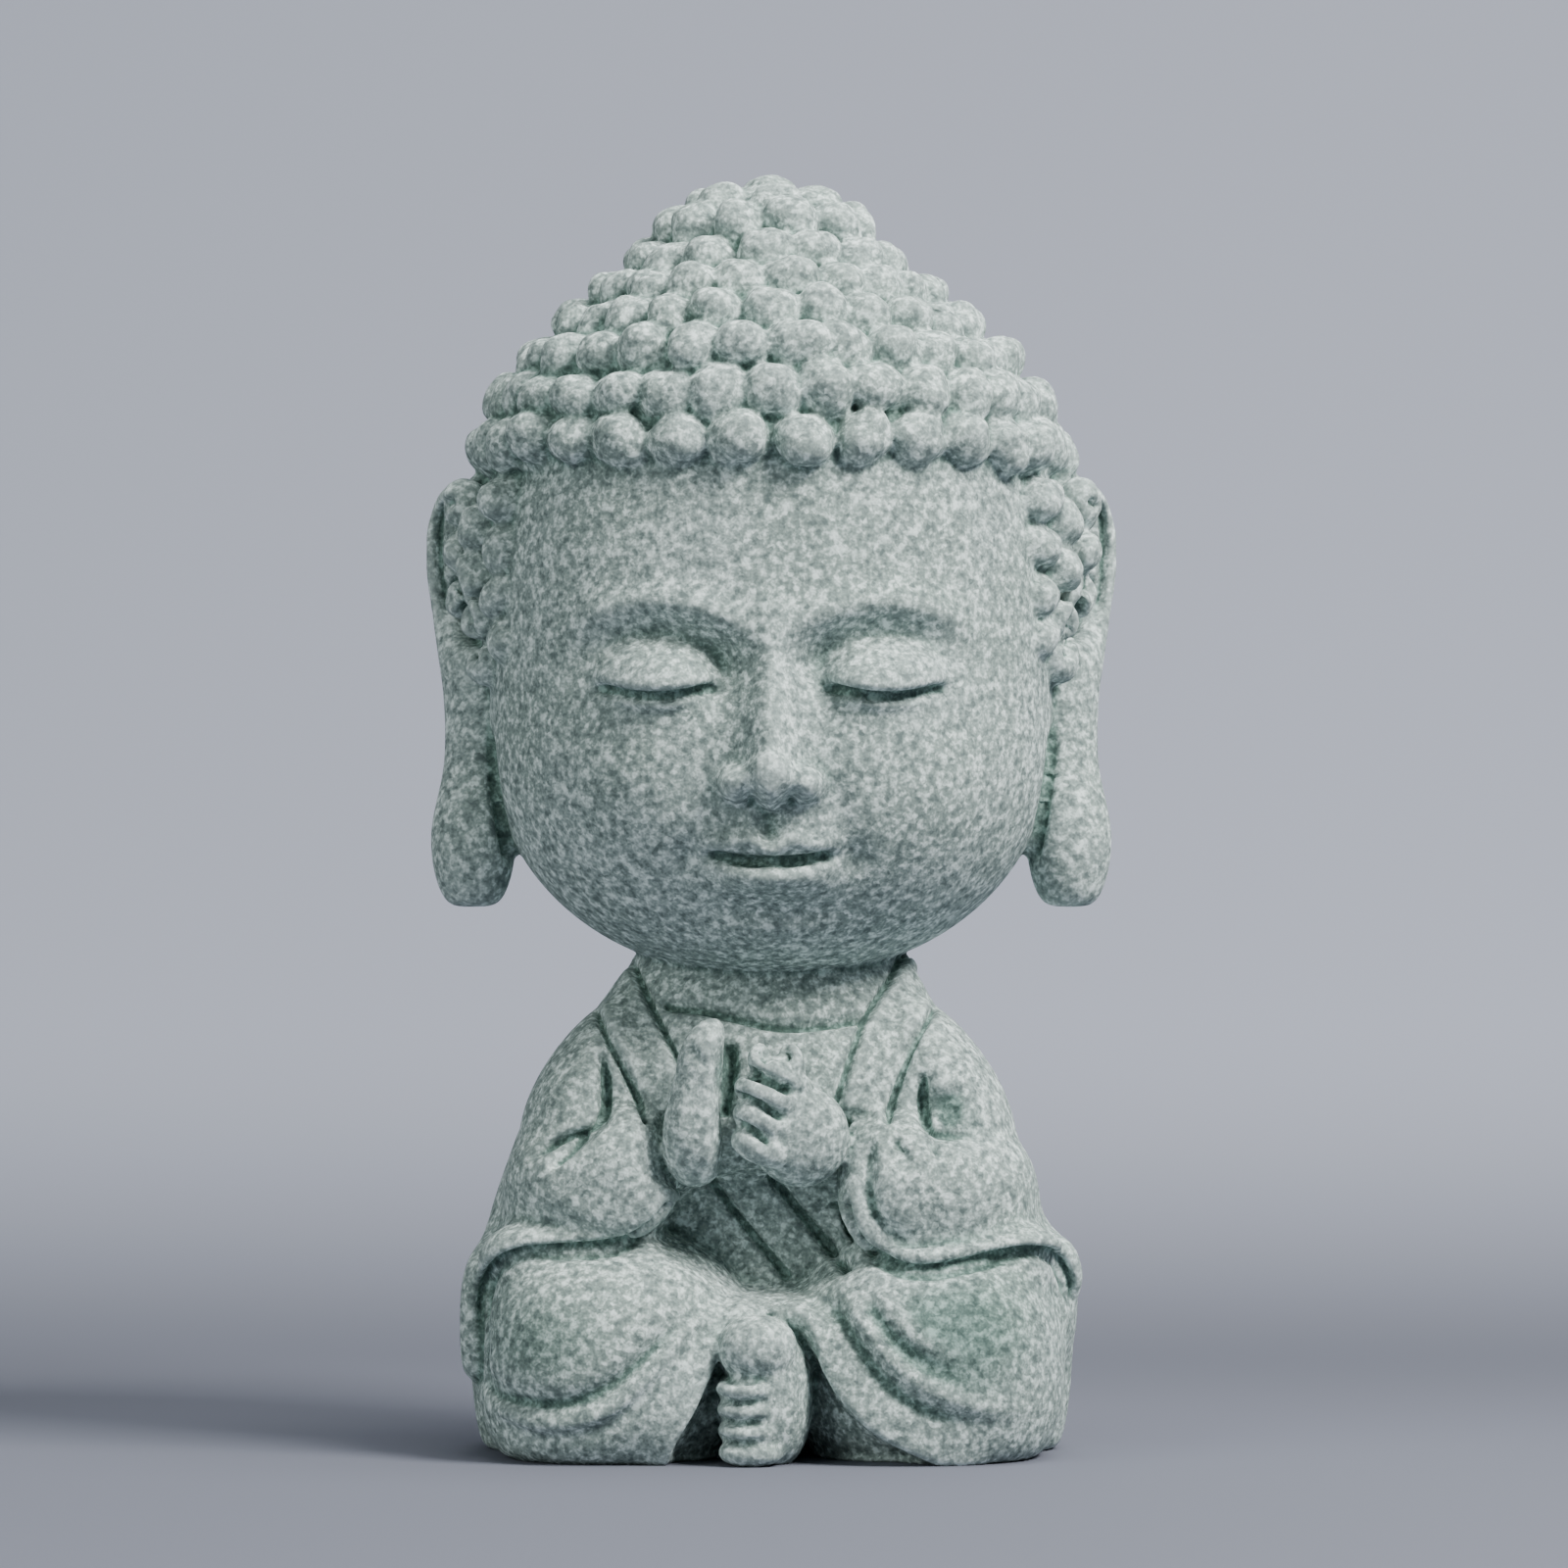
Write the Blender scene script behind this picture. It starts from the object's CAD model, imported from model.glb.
"""Looks of the seated monk figurine: one carved casting in grey-green sandstone, on a plain stage.

All sizes below are in millimetres in the maker's frame (+Z up, the figure faces -Y) and are turned
into metres when a mesh is made.
"""

import bpy
import numpy as np
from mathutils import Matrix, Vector


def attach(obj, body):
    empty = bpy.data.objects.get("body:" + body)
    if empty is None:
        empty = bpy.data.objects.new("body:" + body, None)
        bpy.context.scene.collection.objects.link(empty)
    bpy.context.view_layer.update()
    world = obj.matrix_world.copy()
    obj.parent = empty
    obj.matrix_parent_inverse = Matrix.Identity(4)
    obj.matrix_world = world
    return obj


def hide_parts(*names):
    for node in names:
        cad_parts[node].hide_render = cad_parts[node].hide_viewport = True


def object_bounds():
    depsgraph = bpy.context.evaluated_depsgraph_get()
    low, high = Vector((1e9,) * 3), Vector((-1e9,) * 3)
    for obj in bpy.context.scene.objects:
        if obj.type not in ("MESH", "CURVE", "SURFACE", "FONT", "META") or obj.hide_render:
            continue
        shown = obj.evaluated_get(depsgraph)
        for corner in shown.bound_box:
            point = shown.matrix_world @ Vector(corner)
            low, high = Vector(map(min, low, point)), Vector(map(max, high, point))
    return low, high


bl_info = {
    "name": "Seated monk figurine",
    "version": (1, 0, 0),
    "blender": (4, 5, 0),
    "location": "3D View > Sidebar > Figurine",
    "description": "Builds the carved stone surface of a seated monk figurine and its stage",
    "category": "Add Mesh",
}

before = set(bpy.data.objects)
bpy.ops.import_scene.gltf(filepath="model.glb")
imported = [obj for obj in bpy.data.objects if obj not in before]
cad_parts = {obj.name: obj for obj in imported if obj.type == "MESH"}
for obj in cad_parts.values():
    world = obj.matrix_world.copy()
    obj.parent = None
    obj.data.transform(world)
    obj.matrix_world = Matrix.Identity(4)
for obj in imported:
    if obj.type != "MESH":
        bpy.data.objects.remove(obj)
CAD_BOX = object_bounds()
MM = 0.001
SIDES = (-1, 1)


# Plain arithmetic shared by the forms


def hump(t):
    """A bell: e to the power of minus t squared."""
    return np.exp(-np.square(t))


def ramp(value, low, high):
    """0 below low, 1 above high, and a smooth S between: 3 s squared minus 2 s cubed."""
    s = np.clip((value - low) / (high - low), 0, 1)
    return s * s * (3 - 2 * s)


def mix(a, b, share):
    """A straight blend from a to b."""
    return a + (b - a) * share


def power(base, exponent):
    """The base's size to a power, with the base's sign kept."""
    return np.sign(base) * np.abs(base) ** exponent


def along(stops, share):
    """A Catmull-Rom curve through the stops; share runs from 0 at the first to 1 at the last.

    Each stop may hold any numbers, such as a place and a size. Between two stops it is the Hermite
    cubic whose slopes are half the distance between the stops on either side.
    """
    stops = np.asarray(stops, float)
    last = len(stops) - 1
    place = np.clip(share, 0, 1) * last
    i = np.minimum(place.astype(int), last - 1)
    s = (place - i)[..., None]
    slope = np.gradient(stops, axis=0)
    a, b = stops[i], stops[i + 1]
    rise = s * s * (3 - 2 * s)
    return a + (b - a) * rise + slope[i] * s * (1 - s) ** 2 - slope[i + 1] * s * s * (1 - s)


def profile(knots):
    """A smooth function through (place, value) knots, by the same cubic at uneven places."""
    places, values = np.array(knots, float).T
    slopes = np.empty_like(values)
    slopes[1:-1] = (values[2:] - values[:-2]) / (places[2:] - places[:-2])
    slopes[0] = (values[1] - values[0]) / (places[1] - places[0])
    slopes[-1] = (values[-1] - values[-2]) / (places[-1] - places[-2])

    def at(place):
        place = np.asarray(place, float)
        i = np.clip(np.searchsorted(places, place) - 1, 0, len(places) - 2)
        span = places[i + 1] - places[i]
        s = np.clip((place - places[i]) / span, 0, 1)
        rise = s * s * (3 - 2 * s)
        bend = slopes[i] * s * (1 - s) ** 2 - slopes[i + 1] * s * s * (1 - s)
        return values[i] + (values[i + 1] - values[i]) * rise + bend * span

    return at


def unit(vectors):
    """Each vector divided by its length."""
    return vectors / np.maximum(np.linalg.norm(vectors, axis=-1, keepdims=True), 1e-9)


# Closed surfaces


def skin(rings, first, last):
    """A closed surface over rings of points, given as an array of rows by columns, and two poles."""
    rows, columns = rings.shape[:2]
    points = np.vstack([[first], rings.reshape(-1, 3), [last]])
    a = 1 + np.arange(rows * columns).reshape(rows, columns)
    b = np.roll(a, -1, axis=1)
    top = np.stack([np.zeros(columns, int), a[0], b[0]], -1)
    bottom = np.stack([np.full(columns, len(points) - 1), b[-1], a[-1]], -1)
    lower = np.stack([a[:-1], a[1:], b[1:]], -1).reshape(-1, 3)
    upper = np.stack([a[:-1], b[1:], b[:-1]], -1).reshape(-1, 3)
    return points, np.vstack([top, lower, upper, bottom])


def blob(centre, radii, square=2.0, columns=64, rows=40):
    """A superellipsoid: each radius times a power of the sine or cosine of the polar angle and turn.

    square is 2 for an ellipsoid and more for a boxier form.
    """
    polar = np.linspace(0, np.pi, rows + 1)[1:-1, None]
    turn = np.linspace(0, 2 * np.pi, columns, endpoint=False)[None]
    out = power(np.sin(polar), 2 / square)
    rings = np.stack(
        [
            centre[0] + radii[0] * out * power(np.sin(turn), 2 / square),
            centre[1] - radii[1] * out * power(np.cos(turn), 2 / square),
            np.broadcast_to(centre[2] + radii[2] * power(np.cos(polar), 2 / square), (rows - 1, columns)),
        ],
        -1,
    )
    up = np.array([0, 0, radii[2]])
    return skin(rings, np.array(centre) + up, np.array(centre) - up)


def from_axis(middle):
    """Level directions away from the figure's upright axis."""
    return unit(middle * [1, 1, 0] - [0, 4, 0])


def forward(middle):
    """The direction that the figure faces, at every point."""
    return np.broadcast_to([0.0, -1.0, 0.0], middle.shape)


TANGENT_STEPS = 400


def limb(stops, outward=from_axis, blunt=3.0, square=2.0, dent=None, columns=40, rows=56):
    """A rounded form along a path of (x, y, z, half width, half thickness) stops.

    At a share t of the path the section is a superellipse, scaled by (1 - |e|^blunt)^(1/blunt) with
    e running from -1 to 1, which rounds both ends. The thickness lies towards outward(middle). dent
    gives how far the outer face sinks at each share and turn, as a part of the thickness.
    """
    end = -np.cos(np.pi * np.arange(rows + 1) / rows)
    t = (end + 1) / 2
    middle, size = np.split(along(stops, t), [3], axis=-1)
    tangent = unit(np.gradient(along(stops, np.linspace(0, 1, TANGENT_STEPS))[:, :3], axis=0))
    tangent = tangent[np.round(t * (TANGENT_STEPS - 1)).astype(int)]
    side = unit(np.cross(tangent, outward(middle)))
    out = np.cross(side, tangent)
    swell = (1 - np.abs(end) ** blunt) ** (1 / blunt)
    turn = np.linspace(0, 2 * np.pi, columns, endpoint=False)[None]
    across = power(np.sin(turn), 2 / square)
    proud = power(np.cos(turn), 2 / square)
    if dent is not None:
        proud = proud - dent(t[:, None], turn)
    across, proud = (swell[:, None] * part for part in (across, proud))
    rings = (
        middle[:, None]
        + side[:, None] * (size[:, :1] * across)[..., None]
        + out[:, None] * (size[:, 1:2] * proud)[..., None]
    )
    return skin(rings[1:-1], middle[0], middle[-1])


# HEAD

HEAD_HALF_WIDTH = 24.2
HEAD_FRONT = 21.4
HEAD_BACK = 21.5
CHEEK_LEVEL = 61.5
CHIN_LEVEL = 40.6
SKULL_TOP = 98.0
HAIRLINE = 84.8
THIRD = (HAIRLINE - CHIN_LEVEL) / 3
BROW = HAIRLINE - THIRD
NOSE_BASE = CHIN_LEVEL + THIRD
MOUTH = NOSE_BASE - THIRD / 3
EYE_LINE = BROW - THIRD / 3
EYE_OUT = 9.6
EYE_HALF = 5.3


def brow_rise(x):
    """Height of the brow's arch over its level: half a sine wave from the nose to the temple."""
    return 2.4 * np.sin(np.pi * np.clip((x - 1.5) / 17, 0, 1)) - 0.4


def lid_sag(x):
    """How far the closed lids' line hangs below the eye line: a parabola over the eye's width."""
    return -1.1 * np.maximum(0, 1 - ((x - EYE_OUT) / EYE_HALF) ** 2)


def dome(x, z, centre, radii, height):
    """The upper half of an ellipsoid standing on the face: height times the root of 1 - r squared."""
    r = ((x - centre[0]) / radii[0]) ** 2 + ((z - centre[1]) / radii[1]) ** 2
    return height * np.sqrt(np.maximum(0, 1 - r))


def nose_relief(x, z):
    """The nose as a soft union of a bridge, a ball at the tip and two wings, less the nostrils.

    The union is the fifth root of the sum of fifth powers, which rounds the joins between the forms.
    """
    down = ramp(z, NOSE_BASE + 0.6, NOSE_BASE + 3.2) * (1 - ramp(z, BROW, BROW + 4))
    height = mix(4.3, 0.9, ramp(z, NOSE_BASE + 1, BROW + 1)) * down
    bridge = height * hump(x / mix(2.3, 1.8, ramp(z, NOSE_BASE, BROW)))
    tip = dome(x, z, (0, NOSE_BASE + 2.2), (2.4, 2.5), 5.0)
    wing = dome(x, z, (2.8, NOSE_BASE + 1.6), (1.7, 1.7), 3.1)
    middle = dome(x, z, (0, NOSE_BASE + 0.7), (0.8, 1.5), 3.4)
    union = (bridge**5 + tip**5 + wing**5 + middle**5) ** 0.2
    return union - 1.1 * hump((x - 1.6) / 0.62) * hump((z - NOSE_BASE - 0.5) / 0.6)


def face_relief(sideways, z):
    """How far a calm, plain face stands out of the smooth head, as a sum of bells and ramps.

    Brow, nose base and chin share the height below the hairline in thirds, the eyes lie a third of
    a third below the brow and the mouth a third of a third below the nose, as in drawing books.
    """
    x = np.abs(sideways)
    lid = 1 - ((x - EYE_OUT) / EYE_HALF) ** 2 - ((z - EYE_LINE - 1.0) / 3.2) ** 2
    lid_line = z - EYE_LINE - lid_sag(x)
    on_eye = 1 - ramp(np.abs(x - EYE_OUT), EYE_HALF - 1.2, EYE_HALF + 0.6)
    bow = 0.5 * hump((x - 2) / 1.3) - 0.3 * hump(x / 0.9)
    lips = z - MOUTH - 0.016 * x**2
    upper_lip = hump((lips - 1.15 - bow) / 0.85) * np.maximum(0, 1 - (x / 6.2) ** 2)
    lower_lip = hump((lips + 1.55) / 1.25) * np.maximum(0, 1 - (x / 5.4) ** 2)
    over_lip = ramp(z, MOUTH + 1.6, MOUTH + 2.6)
    return (
        nose_relief(x, z)
        + 0.9 * hump((z - BROW - brow_rise(x)) / 1.5) * ramp(x, 0.5, 4) * (1 - ramp(x, 14, 18))
        - 1.7 * hump((x - 8.5) / 6) * hump((z - BROW - brow_rise(x) + 3) / 1.9)
        - 1.3 * hump((x - 4.3) / 1.8) * hump((z - EYE_LINE - 1.5) / 3)
        + 2.1 * np.maximum(0, lid) ** 0.7
        - 0.8 * hump(lid_line / 0.42) * on_eye
        + 0.35 * hump((lid_line - 0.9) / 0.6) * on_eye
        + 1.2 * hump(x / 9) * hump((z - MOUTH) / 4.6)
        - 0.6 * hump(x / 0.9) * over_lip * (1 - ramp(z, NOSE_BASE - 0.6, NOSE_BASE))
        + 0.35 * hump((x - 1.7) / 0.7) * over_lip * (1 - ramp(z, NOSE_BASE - 1, NOSE_BASE))
        + 1.2 * upper_lip
        + 1.8 * lower_lip
        - 0.7 * hump(lips / 0.4) * (1 - ramp(x, 4.6, 6.4))
        - 0.8 * hump((x - 7) / 1.3) * hump((z - MOUTH - 0.5) / 1.3)
        - 1.0 * hump(x / 5) * hump((z - MOUTH + 4.1) / 1.2)
        + 1.4 * hump(x / 5.5) * hump((z - CHIN_LEVEL - 3.8) / 2.8)
        + 1.2 * hump((x - 12.5) / 6.5) * hump((z - NOSE_BASE - 1) / 6.5)
        - 0.35 * hump((x - 5.6 + 0.25 * (z - NOSE_BASE)) / 0.9) * hump((z - NOSE_BASE) / 3)
    )


def head_spread(z):
    """The head's width at a level, as a share of its widest: a superellipse above and below the cheeks."""
    above = z > CHEEK_LEVEL
    reach = np.where(above, SKULL_TOP - CHEEK_LEVEL, CHEEK_LEVEL - CHIN_LEVEL)
    roundness = np.where(above, 3.5, 2.15)
    return (1 - np.minimum(1, np.abs(z - CHEEK_LEVEL) / reach) ** roundness) ** (1 / roundness)


def head(columns=260, rows=260):
    """The bare head: superelliptic sections that lean forward towards the chin, less the face's relief.

    A column is an azimuth, closer together across the face, and a row is a level.
    """
    end = -np.cos(np.pi * np.arange(1, rows) / rows)
    z = mix(SKULL_TOP, CHIN_LEVEL, (end + 1) / 2)[:, None]
    s = np.linspace(-1, 1, columns, endpoint=False)
    azimuth = (np.pi * (0.7 * s + 0.3 * s**3))[None]
    spread = head_spread(z)
    front = np.cos(azimuth)
    lean = -2.4 * np.maximum(0, (CHEEK_LEVEL - z) / (CHEEK_LEVEL - CHIN_LEVEL)) ** 2
    x = HEAD_HALF_WIDTH * spread * power(np.sin(azimuth), 0.9)
    depth = np.where(front > 0, HEAD_FRONT, HEAD_BACK)
    y = lean - depth * spread * power(front, 0.9) - face_relief(x, z) * ramp(front, 0.05, 0.45)
    rings = np.stack([x, y, np.broadcast_to(z, x.shape)], -1)
    return skin(rings, (0, 0, SKULL_TOP), (0, -2.4, CHIN_LEVEL))


# HAIR

HAIR_TOP = 108.6
HAIR_FOOT = 47
HAIR_BACK = 0.96
HAIR_FRONT = 0.85
BESIDE_FACE = 1.12
BESIDE_EAR = 1.55
BEHIND_EAR = 2.0
EAR_WAIST = 68
CROWN_SWAY = -0.5
CURL_CHANCE = 7
CURL_SHIFT = 0.14
CURL_TURN = 0.2
CURL_GROWTH = 0.04
CURL_LUMPS = 0.12
CURL_RIPPLES = 0.03
KNOT_LEVEL = 106.6
KNOT_RADIUS = 4.6
KNOT_SWAY = -0.4
KNOT_BALL = 2.15
KNOT_TIP = (-0.4, 0.2, 107.4, 2.2)
hair_width = profile([
    (45, 14), (50, 19.5), (58, 23.4), (68, 24.7), (80, 24.9), (86.5, 24), (91, 22), (95, 18.4),
    (98, 14.9), (101, 11.5), (104, 8.6), (106.5, 6.4), (108, 4), (108.6, 2),
])


def hair_point(azimuth, z, radius):
    """A place on the hair: an ellipse in plan, flatter over the brow, that turns round at the top.

    The topknot leans to the left by half a millimetre.
    """
    front = mix(HAIR_FRONT, HAIR_BACK, ramp(z, HAIRLINE, 101))
    depth = mix(HAIR_BACK, front, ramp(np.cos(azimuth), 0, 0.8))
    azimuth, z = np.broadcast_arrays(azimuth, z)
    sway = CROWN_SWAY * ramp(z, 88, 104)
    return np.stack([sway + radius * np.sin(azimuth), -radius * depth * np.cos(azimuth), z], -1)


def face_opening(z):
    """How far round from the front the hair starts, in radians, at a level.

    It is nothing over the brow, then an angle beside the face, and a larger one behind the ears.
    """
    beside = mix(BEHIND_EAR, BESIDE_FACE, ramp(z, EAR_WAIST - 3, EAR_WAIST + 2))
    return np.where(z > HAIRLINE, 0, beside)


def hair_bed(columns=160, rows=120):
    """The scalp that the curls stand on, drawn back inside the head where the face is."""
    z = np.linspace(HAIR_TOP, HAIR_FOOT, rows)[:, None]
    azimuth = np.linspace(-np.pi, np.pi, columns, endpoint=False)[None]
    open_face = 1 - ramp(np.abs(azimuth), face_opening(z + 1.5), face_opening(z + 1.5) + 0.08)
    radius = (hair_width(z) - 0.5) * (1 - 0.25 * open_face * (z < HAIRLINE - 0.5))
    return skin(hair_point(azimuth, z, radius), (0, 0, HAIR_TOP + 0.3), (0, 3, HAIR_FOOT - 1))


def curl_rows(pitch):
    """The rows of curls as (z, pitch along the row, curl radius, 1 if the row starts half a pitch on).

    They go up from the hairline to the crown, smaller and closer on the way, then down to the nape.
    """
    rows = []
    z, number = HAIRLINE + 1.1, 0
    while z < HAIR_TOP - 2.6:
        share = ramp(z, HAIRLINE, 103)
        spacing = pitch * (0.96 if number == 0 else mix(0.85, 0.78, share))
        rows.append((z, spacing, pitch * mix(0.44, 0.385, share), number % 2))
        tilt = np.arctan(hair_width(z - 0.5) - hair_width(z + 0.5))
        z, number = z + pitch * 0.79 * np.cos(tilt), number + 1
    z, number = HAIRLINE - 3.1, 1
    while z > HAIR_FOOT + 1:
        rows.append((z, pitch * 0.94, pitch * 0.47, number % 2))
        z, number = z - pitch * 0.82, number + 1
    return rows


def temple_curls():
    """Small knobs between the face and each ear, in three columns that step back, as (x, y, z, radius)."""
    column, row = np.meshgrid(np.arange(3), np.arange(4), indexing="ij")
    keep = (column < 2) | (row < 3)
    column, row = column[keep], row[keep]
    z = 81.2 - 4.0 * row - 1.9 * (column % 2)
    x = 22.7 + 1.8 * column - 0.1 * row
    y = -7.6 + 3.5 * column
    half = np.stack([x, y, z, 2.05 - 0.08 * row - 0.05 * column], -1)
    return np.vstack([half * [side, 1, 1, 1] for side in SIDES])


def curls(pitch, height):
    """Lumpy knobs in interlocking rows and a ring round the topknot, as one set of closed surfaces.

    Each is a slightly boxy ball whose radius varies over the directions d by a ((d.u)^2 - 1/3) and
    b cos(6 d.u) for three chance directions u, so that no two are alike.
    """
    chance = np.random.default_rng(CURL_CHANCE)
    spots = [temple_curls()]
    for z, spacing, ball, odd in curl_rows(pitch):
        radius = float(hair_width(z))
        count = max(5, round(2 * np.pi * radius * 0.97 / spacing))
        tilt = float(np.arctan(hair_width(z - 0.5) - hair_width(z + 0.5)))
        azimuth = 2 * np.pi * ((np.arange(count) + 0.5) / count + odd / (2 * count))
        azimuth = (azimuth + np.pi) % (2 * np.pi) - np.pi
        bare = 0 if z > HAIRLINE else BESIDE_EAR if z > EAR_WAIST else BEHIND_EAR
        azimuth = azimuth[np.abs(azimuth) > bare - 1e-6]
        azimuth = azimuth + CURL_TURN / radius * chance.standard_normal(len(azimuth))
        ball = ball * (1 + CURL_GROWTH * chance.standard_normal(len(azimuth)))
        level = np.cos(tilt)
        rise = np.full(len(azimuth), np.sin(tilt))
        out = np.stack([np.sin(azimuth) * level, -np.cos(azimuth) * level, rise], -1)
        wave = (0.15 if z < HAIRLINE + 2 else 0.3) * np.sin(3 * azimuth + 2.1 * z)
        place = hair_point(azimuth, z + wave, radius) + out * (height - ball)[:, None]
        spots.append(np.column_stack([place, ball]))
    turn = np.arange(6) * np.pi / 3 + 0.2
    ring = np.stack([
        KNOT_RADIUS * np.sin(turn) + KNOT_SWAY,
        -KNOT_RADIUS * np.cos(turn),
        np.full(len(turn), KNOT_LEVEL),
        np.full(len(turn), KNOT_BALL),
    ], -1)
    spots = np.vstack([*spots, ring, [KNOT_TIP]])
    place, ball = spots[:, :3] + CURL_SHIFT * chance.standard_normal((len(spots), 3)), spots[:, 3:]
    points, triangles = blob((0, 0, 0), (1.1, 1.1, 1), square=2.3, columns=28, rows=20)
    direction = unit(points)
    swell = np.ones((len(spots), len(points)))
    for _ in range(3):
        reach = unit(chance.standard_normal((len(spots), 3))) @ direction.T
        swell += CURL_LUMPS * (reach**2 - 1 / 3) + CURL_RIPPLES * np.cos(6 * reach)
    knobs = place[:, None] + (ball * swell)[..., None] * points
    shift = np.arange(len(spots))[:, None, None] * len(points)
    return knobs.reshape(-1, 3), (triangles + shift).reshape(-1, 3)


# EARS


def ear(side):
    """A long ear: a curled upper shell, a narrow waist and a heavy lobe that hangs free at its tip.

    Its outer face sinks in along the middle of the upper half, which leaves a rim all round.
    """
    stops = np.array([
        (26.7, 3.2, 83.2, 3.2, 1.7),
        (26.7, 2.8, 78.5, 4.4, 2.3),
        (26.2, 2.0, 72, 3.9, 2.4),
        (25.6, 1.2, 65.5, 3.1, 2.3),
        (25.4, 0.4, 59, 3.0, 2.6),
        (25.6, -0.6, 52.5, 4.0, 3.6),
        (25.6, -0.8, 46.6, 3.8, 3.4),
    ])
    stops[:, 0] *= side

    def facing(middle):
        return np.broadcast_to([side * 0.66, -0.75, 0], middle.shape)

    def shell(share, turn):
        round_middle = np.angle(np.exp(1j * turn))
        bowl = ramp(share, 0.03, 0.12) * (1 - ramp(share, 0.3, 0.46))
        return 1.25 * bowl * hump(round_middle / 0.75)

    return limb(stops, outward=facing, blunt=4.5, dent=shell, columns=72, rows=120)


# ROBE

ROBE_TOP = 43.4
ROBE_FOOT = -1.4
robe_width = profile([
    (0, 24.8), (3, 25.5), (8, 25.9), (12, 25.9), (16, 25.2), (20, 23.9), (24.3, 22.3), (28.5, 20.6),
    (32.7, 18.3), (36.5, 15.6), (40.6, 12.8), (43, 11),
])
robe_front = profile([(0, 9), (10, 9.5), (16, 9), (22, 10), (28, 12.4), (33, 12.2), (38, 9.8), (43, 7)])
robe_back = profile([(0, 17), (6, 18.4), (14, 18), (24, 15.6), (32, 12.8), (38, 11.2), (43, 9.8)])
robe_sway = profile([(0, 0), (16, 0), (22, -0.5), (34, -0.6), (43, 0)])


def robe(columns=160, rows=90):
    """The robe over back, shoulders and seat: superelliptic sections of the profiles above."""
    z = np.linspace(ROBE_TOP, ROBE_FOOT, rows)[:, None]
    turn = np.linspace(0, 2 * np.pi, columns, endpoint=False)[None]
    depth = np.where(np.cos(turn) > 0, robe_front(z), robe_back(z))
    x = robe_sway(z) + robe_width(z) * power(np.sin(turn), 0.9)
    y = -depth * power(np.cos(turn), 0.9)
    return skin(np.stack([x, y, np.broadcast_to(z, x.shape)], -1), (0, 1, 44), (0, 2, -1.6))


def knee(side):
    """One crossed knee under the robe: a boxy ball."""
    return blob((side * 13.1, -5.6, 7.8), (11.9, 14.6, 11.6), square=2.5)


def mirrored(stops, side):
    """The stops of a path, on the given side of the figure."""
    return np.array(stops, float) * [side, 1, 1, 1, 1]


def upper_arm(side):
    """The sleeve over the upper arm, from the shoulder to the elbow, a little narrower on the right."""
    stops = [
        (11.2, 0, 38.6, 2.4, 4.5),
        (14.2, -2.8, 33.5, 4, 7.6),
        (16.6, -4, 28, 4.8, 8.8),
        (18.8, -3, 20.5, 4.4, 7),
    ]
    arm = mirrored(stops, side)
    arm[:, 0] -= 0.6 * (side > 0)
    return limb(arm, outward=forward)


def forearm(side):
    """A wide sleeve hanging from the forearm as one full fold, from the elbow in to the wrist."""
    left = [
        (20.2, 5, 18.3, 4.8, 3.4),
        (19.4, -4, 21.2, 5.4, 3.7),
        (16.6, -8.6, 23.2, 5.9, 5.8),
        (12.2, -11.4, 24.3, 5.8, 5.1),
        (8.8, -13, 24.9, 5.2, 4),
    ]
    right = [
        (20.3, 5, 18.3, 4.9, 3.4),
        (19.4, -4, 21.2, 5.5, 3.6),
        (16.6, -8.6, 22.4, 6.2, 5.8),
        (11.6, -11.8, 23, 6.4, 5.2),
        (6.8, -13.2, 24, 5.8, 4),
    ]
    return limb(mirrored(left if side < 0 else right, side), blunt=5.5)


def sleeve_fall(side):
    """The sleeve's tail beside the knee, which hangs lower on one side than on the other."""
    middle, reach = (11.4, 7.6) if side < 0 else (13, 6.2)
    return blob((22.5 * side, -0.4, middle), (3.8, 9, reach), square=2.7)


def thigh(side):
    """Cloth that fills the crease between the sleeve and the knee under it."""
    return blob((side * 16, -6.3, 16.6), (8.4, 8.1, 3.4), square=3.2)


def armpit(side):
    """Cloth that fills the place between the chest, the upper arm and the forearm."""
    return blob((side * 12.6, -6, 30.8), (5, 5.4, 6))


def lap():
    """Cloth between the knees, over the foot."""
    return blob((0.3, -9.5, 10), (7.5, 8, 4), square=2.4)


def robe_forms():
    """All the soft forms under and of the robe."""
    paired = (knee, thigh, upper_arm, armpit, forearm, sleeve_fall)
    return [robe(), lap(), *(form(side) for form in paired for side in SIDES)]


# HANDS AND FOOT


def finger(stops, blunt=2.4):
    """A finger: a narrow limb with full round ends."""
    return limb(stops, outward=forward, blunt=blunt, columns=24, rows=32)


def upright_hand():
    """The hand held upright in front of the chest: heel, palm edge, and one bent finger on top."""
    palm = [
        (-6.2, -13, 24.1, 2.3, 2.9),
        (-6.6, -14.8, 27, 2.55, 3.1),
        (-6.5, -15.2, 30.2, 2.2, 2.8),
        (-6.0, -15, 33.9, 1.8, 2.3),
    ]
    bent = [
        (-6.2, -15.2, 29, 1.9, 2.4),
        (-6.1, -15.5, 32.4, 2, 2.2),
        (-5.6, -15.9, 35, 1.8, 1.8),
        (-4.4, -15.9, 37.2, 1.5, 1.4),
    ]
    return [limb(palm, outward=forward, blunt=5), finger(bent)]


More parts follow.
